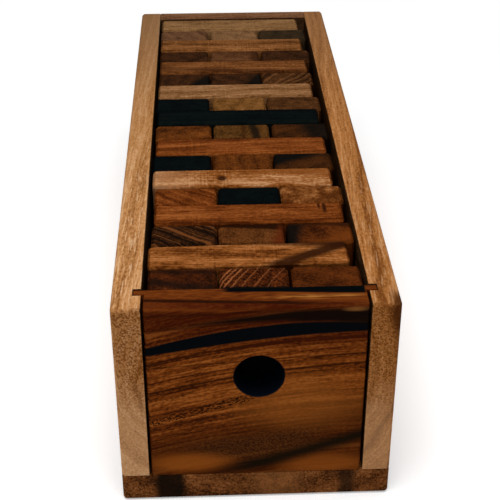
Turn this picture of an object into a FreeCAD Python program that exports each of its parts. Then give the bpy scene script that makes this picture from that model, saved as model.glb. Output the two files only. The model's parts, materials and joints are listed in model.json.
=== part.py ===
import FreeCAD, Part
import os
import Sketcher

# A tumbling tower game of hardwood blocks, stored on its side in an open-topped wooden box.
# Lengths are millimetres. X runs across the box, Y from the end panel to the back wall and Z up.
# The origin is the middle of the underside.

SIZES = [
    # one block
    ("block_length", "75"),
    ("block_width", "25.2"),
    ("block_thickness", "15"),
    ("block_easing", "1.0"),
    # room around the blocks
    ("layer_gap", "0.27"),
    ("side_slack", "5.4"),
    ("head_room", "0.6"),
    ("loose_turn", "1.2"),
    # boards of the box
    ("wall_thickness", "10.5"),
    ("back_thickness", "10.5"),
    ("bottom_thickness", "12"),
    ("box_easing", "1.0"),
    # sliding end panel and its grooves
    ("panel_thickness", "12.8"),
    ("panel_side_gap", "1.0"),
    ("panel_easing", "0.7"),
    ("tongue_thickness", "3.5"),
    ("groove_depth", "3.0"),
    ("groove_clearance", "0.3"),
    # finger hole, measured from the panel's top edge and its middle
    ("finger_hole_diameter", "18"),
    ("finger_hole_drop", "30.5"),
    ("finger_hole_shift", "1.0"),
]

# Gaps that the loose blocks leave across the box, as parts of the spare width, from the left wall
# to the right wall. A layer of lying blocks has two gaps, a layer of standing blocks has four.
GAP_PARTS = [
    (1, 4),
    (2, 4, 2, 3),
    (1, 4),
    (3, 3, 4, 5),
    (1, 3),
    (3, 1, 1, 6),
    (1, 3),
    (2, 4, 2, 5),
    (2, 5),
    (4, 3, 4, 4),
    (1, 2),
    (2, 2, 2, 5),
    (1, 3),
    (7, 2, 1, 4),
    (1, 1),
    (7, 2, 4, 3),
    (1, 3),
    (5, 2, 3, 4),
]
LAYERS = len(GAP_PARTS)
PER_LAYER = 3
TURNED_LAYER = 17  # its top block lies a little askew
DRAWN = 2.0  # width of an outline as first drawn, before the sheet drives it
NEAR = 1e-6  # how close an edge's middle lies to a face that it belongs to

doc = FreeCAD.newDocument("tower_game")
sheet = doc.addObject("Spreadsheet::Sheet", "sizes")
for row, (alias, number) in enumerate(SIZES, 1):
    sheet.set(f"A{row}", alias)
    sheet.set(f"B{row}", number)
    sheet.setAlias(f"B{row}", alias)
doc.recompute()

# Lengths that follow from the sheet, written as expressions
STACK = f"({PER_LAYER} * sizes.block_width)"
LONGEST = f"max(sizes.block_length; {STACK})"
INSIDE_WIDTH = f"({LONGEST} + sizes.side_slack)"
INSIDE_HEIGHT = f"({LONGEST} + sizes.head_room)"
OUTSIDE_WIDTH = f"({INSIDE_WIDTH} + 2 * sizes.wall_thickness)"
TURN_ROOM = "(sizes.block_length * sin(sizes.loose_turn * 1 deg) / 2)"
STORE_LENGTH = (
    f"({LAYERS} * sizes.block_thickness + {LAYERS + 1} * sizes.layer_gap + 2 * {TURN_ROOM})"
)
BOX_LENGTH = f"(sizes.panel_thickness + {STORE_LENGTH} + sizes.back_thickness)"
FLOOR = "sizes.bottom_thickness"
WALL_X = f"({INSIDE_WIDTH} + sizes.wall_thickness) / 2"
PANEL_Y = f"(sizes.panel_thickness - {BOX_LENGTH}) / 2"
BACK_Y = f"({BOX_LENGTH} - sizes.back_thickness) / 2"
TONGUE_SHIFT = "(sizes.panel_thickness - sizes.tongue_thickness) / 2"
TONGUE_REACH = "(sizes.groove_depth - sizes.groove_clearance)"


def sketch_on(body, plane, shift_x, shift_y):
    """A sketch on one of the body's own planes, with its origin shifted within that plane."""
    sketch = body.newObject("Sketcher::SketchObject", "outline")
    support = next(f for f in body.Origin.OriginFeatures if f.Role == plane)
    sketch.AttachmentSupport = [(support, "")]
    sketch.MapMode = "FlatFace"
    sketch.setExpression("AttachmentOffset.Base.x", shift_x)
    sketch.setExpression("AttachmentOffset.Base.y", shift_y)
    return sketch


def drive(sketch, constraint, name, expression):
    """Adds a constraint whose value follows an expression."""
    index = sketch.addConstraint(constraint)
    sketch.renameConstraint(index, name)
    sketch.setExpression(f"Constraints.{name}", expression)


def rectangle(body, wide, deep, shift_x="0", shift_y="0"):
    """A sketch of a rectangle seen from above, centred on its own origin."""
    sketch = sketch_on(body, "XY_Plane", shift_x, shift_y)
    signs = ((-1, -1), (1, -1), (1, 1), (-1, 1))
    corners = [FreeCAD.Vector(x * DRAWN / 2, y * DRAWN / 2, 0) for x, y in signs]
    for number, corner in enumerate(corners):
        sketch.addGeometry(Part.LineSegment(corner, corners[(number + 1) % 4]))
    for number in range(4):
        sketch.addConstraint(Sketcher.Constraint("Coincident", number, 2, (number + 1) % 4, 1))
    for number, direction in enumerate(("Horizontal", "Vertical", "Horizontal", "Vertical")):
        sketch.addConstraint(Sketcher.Constraint(direction, number))
    sketch.addConstraint(Sketcher.Constraint("Symmetric", 0, 1, 1, 2, -1, 1))
    drive(sketch, Sketcher.Constraint("DistanceX", 0, 1, 0, 2, DRAWN), "wide", wide)
    drive(sketch, Sketcher.Constraint("DistanceY", 1, 1, 1, 2, DRAWN), "deep", deep)
    return sketch


def pad(body, sketch, high):
    """Raises a sketch into a solid."""
    feature = body.newObject("PartDesign::Pad", "raised")
    feature.Profile = sketch
    feature.setExpression("Length", high)
    return feature


def cut_through(body, sketch):
    """Cuts a sketch right through the body, both ways."""
    feature = body.newObject("PartDesign::Pocket", "cut")
    feature.Profile = sketch
    feature.Type = "ThroughAll"
    feature.SideType = "Symmetric"
    return feature


def ease(body, size, *edges):
    """Takes the sharpness off the edges that lie on the named outer faces, or off every edge."""
    doc.recompute()
    base = body.Tip
    box = base.Shape.BoundBox
    faces = {
        "left": ("x", box.XMin),
        "right": ("x", box.XMax),
        "front": ("y", box.YMin),
        "back": ("y", box.YMax),
        "bottom": ("z", box.ZMin),
        "top": ("z", box.ZMax),
    }
    names = []
    for number, edge in enumerate(base.Shape.Edges, 1):
        middle = edge.CenterOfMass
        away = {face: abs(getattr(middle, axis) - level) for face, (axis, level) in faces.items()}
        touched = {face for face, distance in away.items() if distance < NEAR}
        if not edges or touched in edges:
            names.append(f"Edge{number}")
    chamfer = body.newObject("PartDesign::Chamfer", "easing")
    chamfer.Base = (base, names)
    chamfer.setExpression("Size", size)


def board(label, size, place):
    """A board or block: its plan is centred on its place and its underside is at that height."""
    body = doc.addObject("PartDesign::Body", label)
    body.Label = label
    for axis, expression in zip("xyz", place):
        body.setExpression(f"Placement.Base.{axis}", expression)
    wide, deep, high = size
    pad(body, rectangle(body, wide, deep), high)
    return body


def bottom_board():
    """The board under the walls and the blocks."""
    body = board("bottom_board", (OUTSIDE_WIDTH, BOX_LENGTH, FLOOR), ("0", "0", "0"))
    sides = ("left", "right", "front", "back")
    corners = [{x, y} for x in ("left", "right") for y in ("front", "back")]
    ease(body, "sizes.box_easing", *[{"bottom", side} for side in sides], *corners)
    return body


def side_wall(label, sign, outer):
    """A long side board with an upright groove that is open at the top."""
    size = ("sizes.wall_thickness", BOX_LENGTH, INSIDE_HEIGHT)
    body = board(label, size, (f"{sign} * {WALL_X}", "0", FLOOR))
    groove = rectangle(
        body,
        "2 * sizes.groove_depth",
        "sizes.tongue_thickness + 2 * sizes.groove_clearance",
        f"{-sign} * sizes.wall_thickness / 2",
        f"{PANEL_Y} + {TONGUE_SHIFT}",
    )
    cut_through(body, groove)
    tops = [{"top", side} for side in (outer, "front", "back")]
    ease(body, "sizes.box_easing", *tops, {outer, "front"}, {outer, "back"})
    return body


def back_wall():
    """The short board between the side walls."""
    size = (INSIDE_WIDTH, "sizes.back_thickness", INSIDE_HEIGHT)
    body = board("back_wall", size, ("0", BACK_Y, FLOOR))
    ease(body, "sizes.box_easing", {"top", "back"})
    return body


def end_panel():
    """The sliding end: a tongue along each side edge, and a finger hole."""
    width = f"{INSIDE_WIDTH} - 2 * sizes.panel_side_gap"
    size = (width, "sizes.panel_thickness", INSIDE_HEIGHT)
    body = board("end_panel", size, ("0", PANEL_Y, FLOOR))
    tongue_width = f"{INSIDE_WIDTH} + 2 * {TONGUE_REACH}"
    tongue = rectangle(body, tongue_width, "sizes.tongue_thickness", "0", TONGUE_SHIFT)
    pad(body, tongue, INSIDE_HEIGHT)
    hole_height = f"{INSIDE_HEIGHT} - sizes.finger_hole_drop"
    hole = sketch_on(body, "XZ_Plane", "sizes.finger_hole_shift", hole_height)
    hole.addGeometry(Part.Circle(FreeCAD.Vector(), FreeCAD.Vector(0, 0, 1), DRAWN / 2))
    hole.addConstraint(Sketcher.Constraint("Coincident", 0, 3, -1, 1))
    drive(hole, Sketcher.Constraint("Diameter", 0, DRAWN), "wide", "sizes.finger_hole_diameter")
    cut_through(body, hole)
    ease(body, "sizes.panel_easing", {"front"}, {"front", "top"}, {"back", "top"})
    return body


def layer_y(layer):
    """The middle of a layer, counted from the back wall. A turned block has room on both sides."""
    rooms = (layer >= TURNED_LAYER) + (layer > TURNED_LAYER)
    taken = f"({layer} - 0.5) * sizes.block_thickness + {layer} * sizes.layer_gap"
    return f"{BOX_LENGTH} / 2 - sizes.back_thickness - ({taken}) - {rooms} * {TURN_ROOM}"


def block(layer, spot, size, place):
    """One block, eased on every edge."""
    body = board(f"layer_{layer:02d}_{spot}_block", size, place)
    ease(body, "sizes.block_easing")
    return body


def lying_layer(layer, parts):
    """Three blocks across the box, one on the other."""
    share = f"{parts[0]} / {sum(parts)}"
    spare = f"({INSIDE_WIDTH} - sizes.block_length)"
    x = f"{spare} * {share} - {spare} / 2"
    size = ("sizes.block_length", "sizes.block_thickness", "sizes.block_width")
    blocks = []
    for number, spot in enumerate(("bottom", "middle", "top")):
        z = f"{FLOOR} + {number} * sizes.block_width"
        blocks.append(block(layer, spot, size, (x, layer_y(layer), z)))
    if layer == TURNED_LAYER:
        blocks[-1].setExpression("Placement.Rotation.Angle", "sizes.loose_turn")
    return blocks


def standing_layer(layer, parts):
    """Three blocks on end, side by side."""
    spare = f"({INSIDE_WIDTH} - {STACK})"
    size = ("sizes.block_width", "sizes.block_thickness", "sizes.block_length")
    blocks = []
    for number, spot in enumerate(("left", "middle", "right")):
        share = f"{sum(parts[: number + 1])} / {sum(parts)}"
        x = f"({number} + 0.5) * sizes.block_width + {spare} * {share} - {INSIDE_WIDTH} / 2"
        blocks.append(block(layer, spot, size, (x, layer_y(layer), FLOOR)))
    return blocks


pieces = [
    bottom_board(),
    side_wall("left_wall", -1, "left"),
    side_wall("right_wall", 1, "right"),
    back_wall(),
    end_panel(),
]
for layer, parts in enumerate(GAP_PARTS, 1):
    lying = len(parts) == 2
    pieces += lying_layer(layer, parts) if lying else standing_layer(layer, parts)
doc.recompute()

for item in doc.Objects:
    if {"Invalid", "Error"} & set(item.State):
        raise RuntimeError(f"{item.Label} failed: {item.State}")
for piece in pieces:
    if piece.Shape.isNull() or not piece.Shape.isValid() or len(piece.Shape.Solids) != 1:
        raise RuntimeError(f"{piece.Label} is not one valid solid")

os.makedirs("parts", exist_ok=True)
for piece in pieces:
    piece.Shape.exportStep(f"parts/{piece.Label}.step")
    box = piece.Shape.BoundBox
    spans = (box.XMin, box.XMax, box.YMin, box.YMax, box.ZMin, box.ZMax)
    print(piece.Label, [round(value, 2) for value in spans], round(piece.Shape.Volume))
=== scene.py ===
# %% [markdown]
# # A boxed tower of wooden blocks
# Fifty-four small hardwood blocks lie on their side in an open wooden box: eighteen layers of
# three, in turn lying across the box and standing in it. The end panel slides up and out of two
# grooves. The solids come from CAD at full size, so this lesson leaves their shapes alone and
# gives them what CAD can't: softened edges, and wood that runs through each piece.

# %% Load the solids and measure them
import json
import math
import random
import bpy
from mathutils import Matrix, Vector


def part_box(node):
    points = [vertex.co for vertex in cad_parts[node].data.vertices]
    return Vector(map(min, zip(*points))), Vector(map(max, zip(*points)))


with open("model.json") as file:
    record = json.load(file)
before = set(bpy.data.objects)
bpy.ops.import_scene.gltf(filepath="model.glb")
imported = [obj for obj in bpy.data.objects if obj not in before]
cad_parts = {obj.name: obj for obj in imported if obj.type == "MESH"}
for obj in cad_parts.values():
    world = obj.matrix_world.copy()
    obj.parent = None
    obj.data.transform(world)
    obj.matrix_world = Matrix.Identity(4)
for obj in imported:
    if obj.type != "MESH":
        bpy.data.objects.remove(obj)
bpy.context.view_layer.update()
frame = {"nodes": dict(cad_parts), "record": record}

from types import SimpleNamespace

import bpy
from mathutils import Vector

nodes = frame["nodes"]

# %% [markdown]
# ## The camera
# The box is seen from just left of its middle, from above its front end. The place and the lens
# were fitted to the corners of the box, and then the lens was made a touch longer, to match the
# outline. A camera with no turn looks straight down, so it is first tipped up to the horizon, then
# lowered, then turned a little to the right.

# %% Set the camera
EYE = (-0.0162, -0.4789, 0.3108)
LOOK_DOWN, TURN_RIGHT = 31.22, 2.41
SENSOR_MM, LENS_MM = 36, 82.5

camera = bpy.data.objects.new("camera", bpy.data.cameras.new("camera"))
camera.data.sensor_width = SENSOR_MM
camera.data.lens = LENS_MM
camera.location = EYE
camera.rotation_euler = (math.radians(90 - LOOK_DOWN), 0, math.radians(-TURN_RIGHT))
bpy.context.collection.objects.link(camera)
bpy.context.scene.camera = camera
bpy.context.scene.view_settings.view_transform = "Standard"
print("camera lens:", LENS_MM, "mm, looking down", LOOK_DOWN, "degrees")

# %% [markdown]
# ## A socket that can do sums
# A wood shader is mostly arithmetic on distances. Wiring each Math node by hand hides the idea,
# so one small class wraps a socket and lets Python's own signs add the nodes. Every other node
# comes from its `node` method: first the settings, then the sockets.


# %% Wrap a socket
class Wire:
    """An output socket; sums on it add Math nodes to its tree."""

    def __init__(self, tree, socket=None):
        self.tree, self.socket = tree, socket

    def node(self, kind, settings, sockets, output=0):
        """Add a node and return one of its outputs, or all of them where output is None."""
        made = self.tree.nodes.new(kind)
        for name, value in settings.items():
            setattr(made, name, value)
        for name, value in sockets.items():
            if isinstance(value, Wire):
                self.tree.links.new(value.socket, made.inputs[name])
            else:
                made.inputs[name].default_value = value
        if output is None:
            return [Wire(self.tree, socket) for socket in made.outputs]
        return Wire(self.tree, made.outputs[output])

    def math(self, operation, first, second=0.0):
        return self.node("ShaderNodeMath", {"operation": operation}, {0: first, 1: second})

    def __add__(self, other):
        return self.math("ADD", self, other)

    def __sub__(self, other):
        return self.math("SUBTRACT", self, other)

    def __rsub__(self, other):
        return self.math("SUBTRACT", other, self)

    def __mul__(self, other):
        return self.math("MULTIPLY", self, other)

    def __truediv__(self, other):
        return self.math("DIVIDE", self, other)

    def __abs__(self):
        return self.math("ABSOLUTE", self)

    __radd__ = __add__
    __rmul__ = __mul__


def blend(mask, below, above):
    """Lay one colour over another where the mask is 1."""
    return mask.node("ShaderNodeMix", {"data_type": "RGBA"}, {0: mask, 6: below, 7: above}, 2)


def ramp(value, start, stop):
    """Rise smoothly from 0 at start to 1 at stop; start may be the larger of the two."""
    return value.node("ShaderNodeMapRange", {"interpolation_type": "SMOOTHSTEP"},
                      {"Value": value, "From Min": start, "From Max": stop})


def larger(first, second):
    return first.math("MAXIMUM", first, second)


print("wire ready")

# %% [markdown]
# ## Floor and light
# A pale floor leaves the colours about as they are written. To the camera the floor glows, more
# so further off where no lamp reaches, which makes it white, and near the box it still takes the
# shadow. The world is white to the camera, and to the wood it is a dim light from all sides.

# %% Make the floor and the world
FLOOR_HALF = 12.0
FLOOR_GREY = (0.93, 0.93, 0.93, 1)
AMBIENT = 0.36
GLOW_NEAR, GLOW_FAR = 0.30, 0.68
NEAR_BOX, FAR_OFF = 0.15, 1.0  # metres from the middle of the box

floor_mesh = bpy.data.meshes.new("floor")
floor_mesh.from_pydata([(-FLOOR_HALF, -FLOOR_HALF, 0), (FLOOR_HALF, -FLOOR_HALF, 0),
                        (FLOOR_HALF, FLOOR_HALF, 0), (-FLOOR_HALF, FLOOR_HALF, 0)],
                       [], [(0, 1, 2, 3)])
floor = bpy.data.objects.new("floor", floor_mesh)
bpy.context.collection.objects.link(floor)

floor_paint = bpy.data.materials.new("floor_paint")
floor_paint.use_nodes = True
floor_shader = floor_paint.node_tree.nodes["Principled BSDF"]
floor_shader.inputs["Base Color"].default_value = FLOOR_GREY
floor_shader.inputs["Roughness"].default_value = 0.9
floor_shader.inputs["Specular IOR Level"].default_value = 0.0
floor_shader.inputs["Emission Strength"].default_value = 1.0
seen = Wire(floor_paint.node_tree).node("ShaderNodeLightPath", {}, {}, "Is Camera Ray")
spot = seen.node("ShaderNodeTexCoord", {}, {}, "Object")
far = seen.node("ShaderNodeVectorMath", {"operation": "LENGTH"}, {0: spot}, "Value")
glow = seen * (GLOW_NEAR + (GLOW_FAR - GLOW_NEAR) * ramp(far, NEAR_BOX, FAR_OFF))
floor_paint.node_tree.links.new(glow.socket, floor_shader.inputs["Emission Color"])
floor_mesh.materials.append(floor_paint)

world = bpy.data.worlds.new("studio")
bpy.context.scene.world = world
world.use_nodes = True
sky = world.node_tree.nodes["Background"]
sky.inputs["Color"].default_value = (1, 1, 1, 1)
seen = Wire(world.node_tree).node("ShaderNodeLightPath", {}, {}, "Is Camera Ray")
white_to_camera = AMBIENT + (1 - AMBIENT) * seen
world.node_tree.links.new(white_to_camera.socket, sky.inputs["Strength"])
print("floor and world ready")

# %% [markdown]
# The main lamp hangs over the front end of the box, so the tops are the brightest faces and the
# far end is dimmer. A second, weaker lamp stands off to the front left and lights the end panel.


# %% Hang the lamps
def lamp(name, place, target, size, watts):
    """Hang a square soft lamp that faces a point."""
    light = bpy.data.lights.new(name, "AREA")
    light.size, light.energy = size, watts
    hung = bpy.data.objects.new(name, light)
    hung.location = place
    hung.rotation_euler = (Vector(target) - Vector(place)).to_track_quat("-Z", "Y").to_euler()
    bpy.context.collection.objects.link(hung)


lamp("top_lamp", place=(-0.04, -0.22, 0.78), target=(0, -0.02, 0.08), size=0.45, watts=4.2)
lamp("front_lamp", place=(-0.6, -1.2, 0.6), target=(0, -0.1, 0.05), size=0.8, watts=1.8)

# %% [markdown]
# ## Wood as a solid
# A real block shows the same growth ring on its top, its side and its end. A painted image would
# break at each edge, so the wood is worked out in space: every point of a piece has a distance
# along the grain, `u`, and two across it, `v` and `w`, all in millimetres from its middle.


# %% Find the grain's own axes
MM = 1000  # millimetres in a metre


def rgb(hexed):
    """A colour written as on a paint card, turned into the light values that shaders use."""
    channels = [int(hexed[i:i + 2], 16) / 255 for i in (1, 3, 5)]
    return [c / 12.92 if c < 0.0405 else ((c + 0.055) / 1.055) ** 2.4 for c in channels] + [1]


def grain_axes(tree, node, along):
    """Places, half sizes and facing in mm from the middle: along the grain, then across it."""
    low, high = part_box(node)
    middle = [MM * (a + b) / 2 for a, b in zip(low, high)]
    half = [MM * (b - a) / 2 for a, b in zip(low, high)]
    start = Wire(tree)
    place = start.node("ShaderNodeTexCoord", {}, {}, "Object")
    facing = start.node("ShaderNodeTexCoord", {}, {}, "Normal")
    scaled = start.node("ShaderNodeVectorMath", {"operation": "MULTIPLY_ADD"},
                        {0: place, 1: (MM, MM, MM), 2: [-m for m in middle]})
    xyz = start.node("ShaderNodeSeparateXYZ", {}, {0: scaled}, None)
    normal = start.node("ShaderNodeSeparateXYZ", {}, {0: facing}, None)
    order = {"x": (0, 1, 2), "y": (1, 0, 2), "z": (2, 0, 1)}[along]
    return [[axes[i] for i in order] for axes in (xyz, half, normal)]


def cloud(axes, along, across, detail):
    """Noise with features of the given lengths in mm, stretched along the grain."""
    u, v, w = axes
    spot = u.node("ShaderNodeCombineXYZ", {}, {0: u / along, 1: v / across, 2: w / across})
    return u.node("ShaderNodeTexNoise", {"noise_dimensions": "3D"},
                  {"Vector": spot, "Scale": 1.0, "Detail": detail})


def layers(depth, width):
    """Noise in one direction only: uneven bands about one width wide."""
    return depth.node("ShaderNodeTexNoise", {"noise_dimensions": "1D"},
                      {"W": depth / width, "Scale": 1.0, "Detail": 2.0})


print("grain axes ready")

# %% [markdown]
# ## Growth rings, fibres and clouds
# The rings are uneven bands round a pith that lies outside the small piece: `lean` is the side on
# which it lies and `pith` how far away. Where the pith is far, the rings are nearly flat sheets,
# which gives straight stripes. Everything adds up to one number, the wood's lightness, and only
# at the end does that number pick a colour between a dark, a middle and a pale tone. Each piece
# starts its noise elsewhere, so no two look the same. Stains are kept in a list, in the order in
# which they are laid on.


# %% Grow the wood of one piece
FAR_START = (200, 900)  # mm; how far from the middle a piece may start its noise


def grow(node, along, tones, lean=90.0, pith=70.0, wander=6.0, band=7.0, slant=0.0, rise=0.0,
         curve=0.0, figure=1.0, clouds=0.6, grain=1.0):
    """Start a piece's wood: its axes, its noises, and its lightness from rings and fibres."""
    wood = SimpleNamespace(node=node, tones=[rgb(tone) for tone in tones], stains=[])
    wood.material = bpy.data.materials.new("wood_" + node)
    wood.material.use_nodes = True
    wood.axes, wood.half, wood.facing = grain_axes(wood.material.node_tree, node, along)
    u, v, w = wood.axes
    dice = random.Random(node)
    flow_v, flow_w = v - slant * u, w - rise * u - curve * u * u
    wood.own = [axis + dice.uniform(*FAR_START) for axis in (u, flow_v, flow_w)]
    wood.waver = cloud(wood.own, 60, 14, 2) - 0.5
    wood.fibre = cloud(wood.own, 18, 0.8, 3) - 0.5
    wood.grit = cloud(wood.own, 1.6, 0.9, 2) - 0.5
    away_v = flow_v - pith * math.cos(math.radians(lean))
    away_w = flow_w - pith * math.sin(math.radians(lean))
    distance = u.math("SQRT", away_v * away_v + away_w * away_w)
    ring = distance + wander * wood.waver + dice.uniform(*FAR_START)
    rings = (layers(ring, band) - 0.5) - 0.7 * (layers(ring, band / 4) - 0.5)
    mottle = cloud(wood.own, 15, 5, 4) - 0.5
    wood.light = (0.5 + 1.4 * figure * rings + 1.6 * clouds * mottle
                  + 1.0 * grain * wood.fibre + 1.1 * grain * wood.grit)
    wood.on_end = ramp(abs(wood.facing[0]), 0.55, 0.85)
    return wood


def stain(wood, mask, tone):
    """Remember a colour to lay over the wood where the mask is 1."""
    wood.stains.append((mask, rgb(tone)))


def streak(wood, across, half, soft, tone, share=1.0, ragged=3.0):
    """Stain the wood where the distance `across` is within half a width, with a torn edge."""
    torn = abs(across + ragged * wood.waver + (0.6 * ragged) * wood.fibre)
    stain(wood, share * ramp(torn, half + soft, half - soft), tone)


def oval(wood, *spans):
    """Distance from a middle in radii; each span is (axis number, middle, radius)."""
    squares = [((wood.axes[i] - middle) / radius) * ((wood.axes[i] - middle) / radius)
               for i, middle, radius in spans]
    return squares[0].math("SQRT", sum(squares[1:], squares[0]))


print("rings ready")

# %% [markdown]
# ## Sealing the surface
# Open pores show as short dark dashes along a face and as dots on the end grain, and they are
# fine pits. A saw leaves faint lines across the grain, in patches. Sandpaper rubs the edges of
# a board paler, while the bevels of a block get painted shade for the dark crevices between the
# blocks. End grain drinks more oil, so it is darker, and the ends of the lying blocks get painted
# shade on top of that, for the shaded gaps beside the walls. All of it is thin, so colour,
# roughness and a shallow bump are enough.


# %% Seal one piece
# Near an edge a board wears paler, while a block gets painted shade.
EDGE_FROM, EDGE_FULL = 1.2, 0.3  # mm from an edge where wear begins and where it is complete
ROUGH, SHEEN = 0.62, 0.01
BUMP_SHARE, BUMP_DEPTH = 0.3, 0.0002


def seal(wood, pores=0.3, pore=0.7, saw=0.0, end_grain_and_painted_shade=0.1, wear_and_gap_shade=0.15):
    """Add pores, saw lines, end grain, edge wear and painted shade, and put the material on its
    node.
    """
    pits = ramp(cloud(wood.own, 10 * pore, pore, 1), 0.57, 0.68)
    lines = layers(wood.own[0] + 0.6 * wood.waver, 0.8) - 0.5
    near = [ramp(abs(axis), half - EDGE_FROM, half - EDGE_FULL)
            for axis, half in zip(wood.axes, wood.half)]
    edge = larger(larger(near[0] * near[1], near[1] * near[2]), near[0] * near[2])
    # Edge wear pales the boards' edges; on the blocks the share is negative, and the bevels get
    # painted shade for the dark crevices between them.
    edge_wear_and_shade = edge * ramp(cloud(wood.own, 9, 5, 2), 0.35, 0.65)
    # The end share darkens end grain, and its larger value on the lying blocks adds painted shade
    # to their ends.
    light = wood.light - pores * pits - end_grain_and_painted_shade * wood.on_end + wear_and_gap_shade * edge_wear_and_shade
    if saw:
        patches = ramp(cloud(wood.own, 12, 20, 1), 0.4, 0.65)
        light = light + saw * patches * lines * (1 - wood.on_end)
    pale, middle, dark = wood.tones
    colour = blend(ramp(light, 0.45, 1.0), blend(ramp(light, 0.0, 0.55), dark, middle), pale)
    for mask, tone in wood.stains:
        colour = blend(mask, colour, tone)
    height = wood.fibre * 0.5 - pits * 0.8 + lines * saw
    bump = height.node("ShaderNodeBump", {}, {"Strength": BUMP_SHARE, "Distance": BUMP_DEPTH,
                                              "Height": height})
    gloss = ROUGH + 0.15 * pits + 0.2 * wood.fibre - 0.12 * edge_wear_and_shade
    shader = wood.material.node_tree.nodes["Principled BSDF"]
    shader.inputs["Specular IOR Level"].default_value = SHEEN
    for name, wire in (("Base Color", colour), ("Roughness", gloss), ("Normal", bump)):
        wood.material.node_tree.links.new(wire.socket, shader.inputs[name])
    nodes[wood.node].material_slots[0].material = wood.material


print("seal ready")

# %% [markdown]
# ## The side walls
# Two long boards of light tan wood. Their tops show fine pale flecks that run the length of the
# box and fade toward the far end, where the walls also get painted shade, darker and greyer, as
# the lamp's light falls off. Their front ends show end grain, darker and speckled in the upper
# half. The faces inside the box get painted shade, nearly black, so that the gaps beside the
# blocks read as deep shadow. The right wall has a knot at its front corner.

# %% Finish the side walls
LEFT_TONES = ("#d2a477", "#b57f4d", "#7f5027")
RIGHT_TONES = ("#bd8554", "#9f6735", "#6e3e18")
# The painted shade for faces inside the box, nearly black.
INSIDE_SHADE = "#150c05"


def facing_up(wood):
    """1 on the faces that look up, for a piece whose grain lies flat."""
    return ramp(wood.facing[2], 0.5, 0.9)


for node, tones, inward, flecked, painted_far_shade in (("left_wall", LEFT_TONES, 1, 0.45, 0.72),
                                             ("right_wall", RIGHT_TONES, -1, 0.15, 0.5)):
    wall = grow(node, "y", tones, 90 - 80 * inward, 42, wander=7, band=7, slant=0.05, figure=0.9,
                clouds=0.25, grain=0.9)
    u, v, w = wall.axes
    upper = ramp(w + 30 * wall.waver + 0.5 * v, -16, 14)
    specks = ramp(cloud(wall.own, 9, 0.65, 2), 0.46, 0.60)
    stain(wall, wall.on_end * upper * 0.45, "#8a5426")
    stain(wall, wall.on_end * (1 - upper) * 0.4, "#b08a66")
    stain(wall, wall.on_end * specks * (0.1 + 0.75 * upper), "#63350f")
    if node == "left_wall":
        stain(wall, ramp(u, -100, -10) * 0.35, "#8f6030")
    # Painted shade: the walls grow darker and greyer toward the far end, where the lamp's light
    # falls off.
    stain(wall, ramp(u, -20, 150) * painted_far_shade, "#7d5c3f")
    flecks = ramp(cloud(wall.own, 9, 0.7, 1), 0.55, 0.66) * (1 - wall.on_end)
    upward = facing_up(wall)
    true_end = wall.on_end * ramp(abs(u), wall.half[0] - 3, wall.half[0] - 1)
    # Painted shade: the wall faces inside the box, and the groove, go nearly black, as they lie in
    # shadow beside the blocks.
    inside_shade = ramp(v * inward, 1.8, 2.6) * (1 - upward) * (1 - true_end)
    stain(wall, inside_shade * 0.88, INSIDE_SHADE)
    stain(wall, flecks * ramp(u, 40, -120) * (0.1 + flecked * upward), "#deb48a")
    if node == "right_wall":
        knot = oval(wall, (0, -150, 10), (1, 6, 5), (2, 34, 15))
        streak(wall, knot, 0.75, 0.4, "#401d07", share=0.9, ragged=1.0)
    seal(wall, pores=0.15, pore=0.8, end_grain_and_painted_shade=0.0)
print("walls finished")

# %% [markdown]
# ## Bottom board and back wall
# The board under everything is a darker, redder plank, with two nearly black patches in its
# front end. The back wall shows only its reddish top between the side walls. Where these two
# face the blocks, they get painted shade, dark like the painted shade inside the walls.

# %% Finish the bottom board and the back wall
INSIDE_HALF, PANEL_REAR = 40.4, -138.5  # mm from the middle: half the inside width, its front end

board = grow("bottom_board", "y", ("#8c5830", "#683b1a", "#331a09"), 95, 60, band=6, figure=0.6)
streak(board, board.axes[1] + 32.5, 5.5, 2, "#120b05", share=0.95)
streak(board, board.axes[1] - 35, 3, 2, "#1a0f08", share=0.8)
streak(board, board.axes[1] - 8, 9, 6, "#8c5a30", share=0.35)
between_walls = ramp(abs(board.axes[1]), INSIDE_HALF + 0.2, INSIDE_HALF - 0.2)
within = between_walls * ramp(board.axes[0], PANEL_REAR - 1.5, PANEL_REAR + 1.5)
# Painted shade: the board's top between the walls, under the blocks, goes dark as it lies in
# shadow.
stain(board, within * facing_up(board) * 0.6, INSIDE_SHADE)
seal(board, pores=0.35, pore=0.9)
back = grow("back_wall", "x", ("#936a4b", "#754f34", "#4c2d18"), 80, 60, band=6, figure=0.6,
            clouds=0.3)
# Painted shade: the back wall's face toward the blocks goes dark as it lies in shadow.
stain(back, ramp(back.facing[1], -0.5, -0.9) * 0.7, INSIDE_SHADE)
seal(back)
print("board and back finished")

# %% [markdown]
# ## The end panel
# The showpiece: red-brown heartwood whose grain climbs to the right. First comes its ground:
# darker at the top and low on the left, golden to the right of the middle and in both lower
# corners, and a speckled brown cloud under the finger hole.

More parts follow.
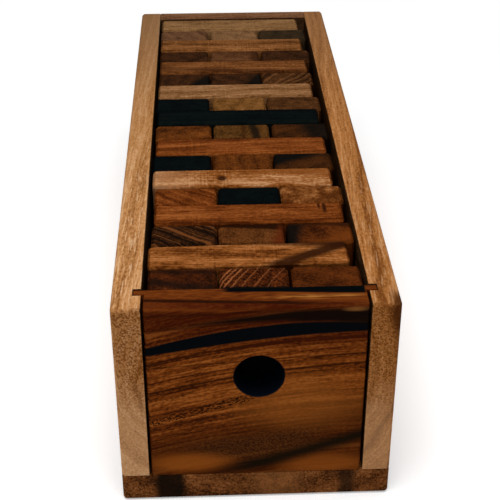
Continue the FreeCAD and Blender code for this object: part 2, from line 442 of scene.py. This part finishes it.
# %% Colour the end panel
panel = grow("end_panel", "x", ("#94521f", "#6b330d", "#351404"), 100, 160, wander=3, band=6,
             rise=0.15, curve=-0.0016, figure=1.2, clouds=0.4, grain=1.2)
u, v, w = panel.axes
stain(panel, ramp(w + 0.05 * u, 14, 34) * 0.8, "#3c1003")
stain(panel, ramp(w - 0.2 * u, -4, -20) * 0.72, "#381503")
stain(panel, ramp(oval(panel, (0, 16, 30), (2, -4, 15)), 1.2, 0.3) * 0.5, "#8c4f1c")
cloudy = ramp(abs(w + 24.5 - 0.12 * u + 6 * panel.waver), 9, 2) * ramp(abs(u + 2), 36, 12)
speckle = ramp(cloud(panel.own, 1.0, 0.6, 1), 0.42, 0.6)
stain(panel, cloudy * (0.45 + 0.35 * speckle), "#2a1205")
stain(panel, cloudy * (1 - speckle) * 0.12, "#84582c")
stain(panel, ramp(oval(panel, (0, -25, 19), (2, -32, 5.5)), 1.2, 0.3) * 0.55, "#9a5218")
stain(panel, ramp(oval(panel, (0, 26, 20), (2, -34, 6)), 1.2, 0.3) * 0.5, "#96501a")
print("panel ground finished")

# %% [markdown]
# ## The panel's streaks
# A black streak crosses near the top with smoke above it, thin lines run beside the finger hole,
# a dotted line climbs on the left, and a smoky band lies low on the right. Each is a curve in the
# panel's own face, in millimetres from its middle: a height, a slope and a bend.


# %% Draw the panel's streaks
def climb(height, slope, bend=0.0):
    """Distance above a curve that starts at a height in the middle and climbs to the right."""
    straight = w - height - slope * u
    return straight - bend * u * u if bend else straight


LINE = "#200c03"
streak(panel, climb(26.9, 0.114, -0.0018), 2.8 - 0.0006 * u * u, 0.4, "#04070a", ragged=1.0)
streak(panel, climb(32.9, 0.055, -0.0011), 1.4 + 0.05 * u, 1.0, "#0b0704", 0.95, ragged=2.5)
streak(panel, climb(9.1, 0.155, -0.0013), 0.4, 0.35, LINE, 0.85, ragged=1.2)
streak(panel, climb(14.9, 0.065), 0.3, 0.4, LINE, 0.7, ragged=2)
streak(panel, climb(12.3, 0.11), 0.2, 0.4, LINE, 0.5, ragged=2)
dots = ramp(cloud(panel.own, 1.3, 0.6, 1), 0.47, 0.57)
streak(panel, climb(-0.6, 0.314), 1.9, 0.8, LINE, dots * ramp(u, 5, -5), ragged=1)
streak(panel, climb(9, 0.34), 0.6, 0.5, LINE, dots * ramp(u, -20, -28) * 0.7, ragged=1)
streak(panel, climb(-32.8, 0.262, 0.0011), 2.6, 2.4, "#110d05", ramp(u, -22, 0) * 0.95, ragged=2.5)
streak(panel, climb(31.6, 0.07), 0.25, 0.4, LINE, ramp(u, 20, 0) * 0.7, ragged=2)
streak(panel, climb(35.6, 0.02), 0.3, 0.5, LINE, 0.6, ragged=2)
streak(panel, climb(36.4, -0.02), 0.4, 0.6, "#7c3d12", ramp(u, 10, -10) * 0.5)
pale_spot = ramp(oval(panel, (0, 35, 6), (2, 36.2, 1.2)), 1.1, 0.1)
stain(panel, pale_spot * (0.45 + 2.0 * panel.fibre), "#96602f")
print("stains and streaks:", len(panel.stains))

# %% [markdown]
# ## The panel's top edge and finger hole
# The top edge is golden toward the rear, with a dark line along its front and a black sliver
# along its rear edge. The bore of the finger hole gets painted shade, near black.

# %% Shade its top edge and the finger hole
HOLE_U, HOLE_W, HOLE_RADIUS = 1.0, 7.6, 9.0

top = facing_up(panel)
rear = v + 0.066 * u + 3 * panel.waver
stain(panel, top * ramp(rear, -4.0, -1.0) * (0.6 + 2.5 * panel.fibre), "#6e360f")
gold = oval(panel, (0, 22, 22), (1, -0.6, 1.8))
stain(panel, top * ramp(gold, 1.1, 0.2) * (0.4 + 3.5 * panel.fibre), "#a56c30")
streak(panel, v + 3.6 + 0.066 * u, 0.9, 0.5, LINE, top * ramp(u, 34, 8) * 0.9, ragged=1.6)
sliver = v - 3.3 + 0.06 * u + 4 * panel.waver
on_face = ramp(u, -14, -9) * ramp(u, 39.5, 38.5)
stain(panel, top * ramp(sliver, -0.4, 0.3) * on_face, "#020506")
hole_u, hole_w = u - HOLE_U, w - HOLE_W
from_hole = u.math("SQRT", hole_u * hole_u + hole_w * hole_w)
# Painted shade: the bore of the finger hole is painted near black, as it lies in deep shadow.
stain(panel, ramp(from_hole, HOLE_RADIUS + 0.6, HOLE_RADIUS + 0.2), "#060c14")
seal(panel, pores=0.25)
print("panel finished")

# %% [markdown]
# ## The blocks
# The set mixes several woods, from a pale pinkish tan to a nearly black heartwood. Lying blocks
# show their long grain on top, standing blocks their end grain. Each wood is three tones.

# %% Choose the woods
WOODS = {
    "ash": ("#8f6b4a", "#7a5737", "#573a22"),
    "sand": ("#9c7650", "#85603b", "#5e4024"),
    "biscuit": ("#a67c57", "#845a36", "#5c3a1b"),
    "straw": ("#b5845a", "#874e20", "#542808"),
    "maple": ("#9e6c40", "#7d4d26", "#4c2a0e"),
    "honey": ("#946a3e", "#744b22", "#472a0c"),
    "nutmeg": ("#8f5a30", "#683c1a", "#3e1f09"),
    "caramel": ("#a06a3c", "#71401a", "#482207"),
    "toffee": ("#ae7242", "#864d20", "#4e2508"),
    "amber": ("#8f5023", "#6c3510", "#431b04"),
    "teak": ("#7c4c26", "#5b3213", "#331805"),
    "sienna": ("#7f4519", "#5c2f0d", "#331604"),
    "russet": ("#703812", "#502509", "#2b1003"),
    "hazel": ("#7d583d", "#66442b", "#422919"),
    "chestnut": ("#6f482c", "#5b381f", "#371c0b"),
    "walnut": ("#6c4526", "#4d2d13", "#2a1506"),
    "olive": ("#7c5227", "#573614", "#2c1805"),
    "cocoa": ("#573012", "#40210a", "#200f03"),
    "mahogany": ("#642e0e", "#421c07", "#190903"),
    "umber": ("#53311a", "#3b200d", "#180b04"),
    "zebra": ("#643819", "#341b0a", "#120803"),
    "soot": ("#46331f", "#352717", "#1c140b"),
    "ebony": ("#0c120e", "#040a0b", "#020405"),
}
LYING = {1: "sand", 3: "maple", 5: "nutmeg", 7: "biscuit", 9: "ebony", 11: "amber", 13: "straw",
         15: "amber", 17: "toffee"}
STANDING = {2: "hazel ash soot", 4: "umber chestnut umber", 6: "umber umber walnut",
            8: "ebony honey walnut", 10: "sienna olive cocoa", 12: "ebony sienna cocoa",
            14: "amber ebony caramel", 16: "zebra teak russet", 18: "mahogany mahogany russet"}
LEFT_TO_RIGHT = ("left", "middle", "right")
BY_SLOT = {"pale_block": "biscuit", "tan_block": "honey", "brown_block": "chestnut",
           "dark_block": "ebony"}
slot_of = {row["node"]: row["material_slot"] for row in frame["record"]["subparts"]}


def wood_of(node):
    """The wood of a block: seen ones by their layer, hidden ones by the record's slot."""
    layer, spot = int(node.split("_")[1]), node.split("_")[2]
    if spot == "top":
        return LYING[layer]
    if layer in STANDING:
        return STANDING[layer].split()[LEFT_TO_RIGHT.index(spot)]
    return BY_SLOT[slot_of[node]]


print("woods:", len(WOODS))

# %% [markdown]
# ## Marks of single blocks
# Most blocks are plain, but some have a figure that makes them easy to tell apart: diagonal
# stripes where the rings cross the end, a wedge of black heartwood, a dark streak, a small knot
# or a short check. A stripe is a lean and a far pith. A wedge or streak is a tilted line, given
# as how much the distance grows along `u`, `v` and `w`, its place, half its width, how soft its
# edge is, its tone and how much of it shows. A knot or check is an oval.

# %% Describe the marks
FIGURES = {
    "layer_06_right_block": dict(lean=140, pith=140, band=3, figure=1.5),
    "layer_08_middle_block": dict(figure=0.2),
    "layer_10_middle_block": dict(figure=0.2),
    "layer_13_top_block": dict(figure=0.7, clouds=0.8),
    "layer_14_left_block": dict(lean=55, pith=160, band=3, figure=1.2),
    "layer_14_right_block": dict(figure=0.2, clouds=1.3),
    "layer_16_left_block": dict(lean=55, pith=300, band=3.0, figure=2.4, wander=3),
    "layer_17_top_block": dict(clouds=1.0),
    "layer_18_middle_block": dict(grain=1.6, figure=0.3),
}
BLACK, BROWN, RED, PALE = "#050807", "#2c1204", "#5a230a", "#a05e34"
SLASH = (0, 0.87, -0.49)
SLASHES = ((-10.2, 0.25, 0.75), (-8.6, 0.2, 0.7), (-6.9, 0.25, 0.75), (-4.6, 0.2, 0.6),
           (-1.5, 0.15, 0.5), (2.5, 0.2, 0.4), (7, 0.15, 0.4))  # place, half width, how much shows
MARKS = {
    "layer_04_middle_block": [((0, 1, 0), 12, 4, 2, BROWN, 0.7)],
    "layer_05_top_block": [((0.1, 1, 0), -5, 2, 2, BROWN, 0.6)],
    "layer_06_left_block": [((0, 0.77, -0.64), 13, 7, 1.5, BLACK, 0.9)],
    "layer_06_middle_block": [((0, 0.9, -0.4), 11, 4, 2, BLACK, 0.9)],
    "layer_10_middle_block": [((0, 1, 0.1), 6, 1.8, 1, BLACK, 0.8),
                              ((0, 1, 0), 1, 0.8, 1, BROWN, 0.6)],
    "layer_10_right_block": [((0, 1, 0.2), 11, 10, 5, BLACK, 0.85)],
    "layer_12_right_block": [((0, -0.415, 0.91), 9.6, 8, 2.5, BLACK, 0.95)],
    "layer_13_top_block": [((0.16, 0.987, 0), 7.9, 2.6, 1.5, "#7c451b", 0.7),
                           ((1, 0, 0), -42, 16, 12, "#c99b70", 0.3)],
    "layer_16_middle_block": [((0, 0.12, 1), 6.6, 3.2, 0.9, "#1e0a02", 0.97),
                              ((0, 1, -0.3), 14, 4, 2, RED, 0.7)],
    "layer_16_right_block": [((0, 1, -0.2), -14, 7, 3, BLACK, 0.95),
                             ((0, 0.1, 1), 7, 2.6, 1.2, BROWN, 0.85),
                             ((0, 0.5, -0.8), 8, 3, 3, "#7f4012", 0.4)],
    "layer_17_top_block": [((-0.48, 0.878, 0), -12.2, 2.8, 1.6, BROWN, 0.95),
                           ((0.09, 1, 0), 8.8, 2.2, 1.6, BROWN, 0.85)],
    "layer_18_left_block": [((0, 0.25, 1), -4, 2.5, 2, BLACK, 0.7),
                            ((0, 0.1, 1), 5, 1.2, 1, BLACK, 0.6)],
    "layer_18_middle_block": [*((SLASH, place, half, 0.3, PALE, share)
                                for place, half, share in SLASHES),
                              # painted shade: black over the block's front face, behind the finger
                              # hole, so the hole reads as deep shadow
                              ((0, 0, 1), -8, 2, 0.8, BLACK, 1.0)],
}
KNOTS = {
    "layer_13_top_block": [((0, -8.6, 2.2), (1, -1, 2.4))],
    "layer_15_top_block": [((0, 30.3, 0.9), (1, 3.0, 4.5)), ((0, 28.2, 0.6), (1, 4.5, 2.5))],
}
print("blocks with marks:", len(MARKS))

# %% [markdown]
# Each block then grows along its own length: across the box where it lies, upright where it
# stands. Chance picks the side of its pith and the width of its rings, always the same for the
# same name.

# %% Finish the blocks
for node in sorted(n for n in nodes if n.startswith("layer_")):
    lying = int(node.split("_")[1]) % 2 == 1
    dice = random.Random("lean " + node)
    shape = dict(lean=dice.uniform(0, 360), pith=dice.uniform(50, 110), band=dice.uniform(4, 9),
                 slant=dice.uniform(-0.06, 0.06), figure=0.7 if lying else 0.4,
                 grain=1.0 if lying else 0.75)
    shape.update(FIGURES.get(node, {}))
    block = grow(node, "x" if lying else "z", WOODS[wood_of(node)], **shape)
    for tilt, place, half, soft, tone, share in MARKS.get(node, []):
        across = sum((axis * slope for axis, slope in zip(block.axes, tilt) if slope), -place)
        streak(block, across, half, soft, tone, share, ragged=2.0)
    for spans in KNOTS.get(node, []):
        streak(block, oval(block, *spans), 0.9, 0.4, BROWN, 0.95, ragged=0.5)
    # Painted shade: the blocks' bevels darken for the crevices between them, and the lying blocks'
    # ends darken for the shaded gaps beside the walls.
    seal(block, pores=0.2, saw=0.5 if lying else 0.0, end_grain_and_painted_shade=0.3 if lying else 0.1,
         wear_and_gap_shade=-0.35)
print("woods made:", sum(material.name.startswith("wood_") for material in bpy.data.materials))

# %% [markdown]
# ## Softened edges
# CAD eases edges with a flat bevel. Sanded edges are round, and they catch the light. The
# imported faces don't share points, so they are welded first, and then a small bevel modifier
# rounds the corners of the flat bevels. The CAD mesh itself stays as it is.

# %% Soften every piece
ROUNDING, WELD_REACH = 0.0004, 0.00001
SHARP = math.radians(30)

for solid in nodes.values():
    weld = solid.modifiers.new("weld", "WELD")
    weld.merge_threshold = WELD_REACH
    bevel = solid.modifiers.new("round_edges", "BEVEL")
    bevel.width, bevel.segments = ROUNDING, 2
    bevel.limit_method, bevel.angle_limit = "ANGLE", SHARP
    solid.modifiers.new("even_shading", "WEIGHTED_NORMAL")
print("edges softened by", ROUNDING * MM, "mm")
